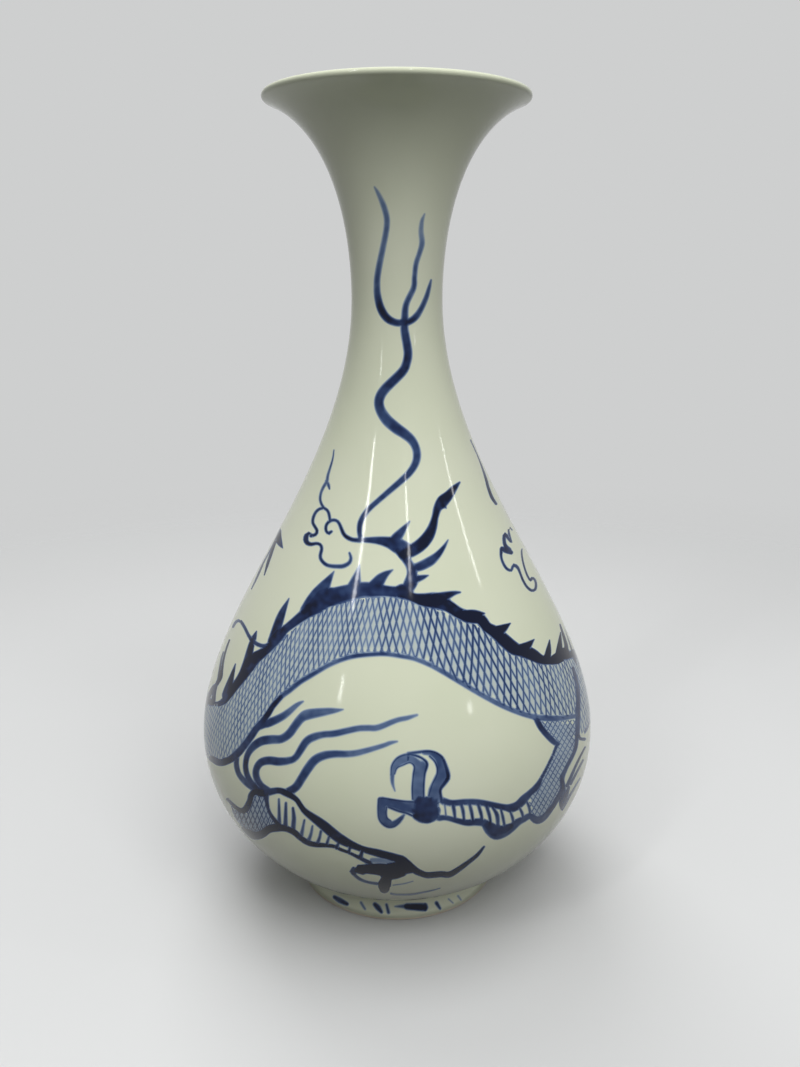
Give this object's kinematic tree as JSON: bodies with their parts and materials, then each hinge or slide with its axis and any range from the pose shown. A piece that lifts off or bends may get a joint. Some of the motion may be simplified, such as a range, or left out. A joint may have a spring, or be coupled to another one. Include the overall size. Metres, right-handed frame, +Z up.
{
  "type": "yuhuchunping vase",
  "caption": "Pear-shaped glazed porcelain vase with a slender neck, flared lip and low foot ring, painted in underglaze blue with a dragon and clouds, for pouring wine or holding stems.",
  "frame": {"origin": "middle of the standing face of the foot ring", "axes": "+Z up along the axis that the vase was thrown on; -Y is the front, towards the pictured side"},
  "size_m": [0.155, 0.155, 0.3],
  "materials": {
    "porcelain": "matte fired clay, bare at the standing rim",
    "slip": "matte fired slip",
    "glaze": "glossy ivory glaze with a green cast over cobalt painting"
  },
  "bodies": {
    "root": {"foot_ring": "porcelain", "foot_slip": "slip", "lower_body": "porcelain", "belly_slip": "slip", "upper_body": "porcelain", "neck_slip": "slip", "neck_and_mouth": "porcelain", "outer_glaze": "glaze", "inner_glaze": "glaze", "base_glaze": "glaze"}
  },
  "joints": []
}
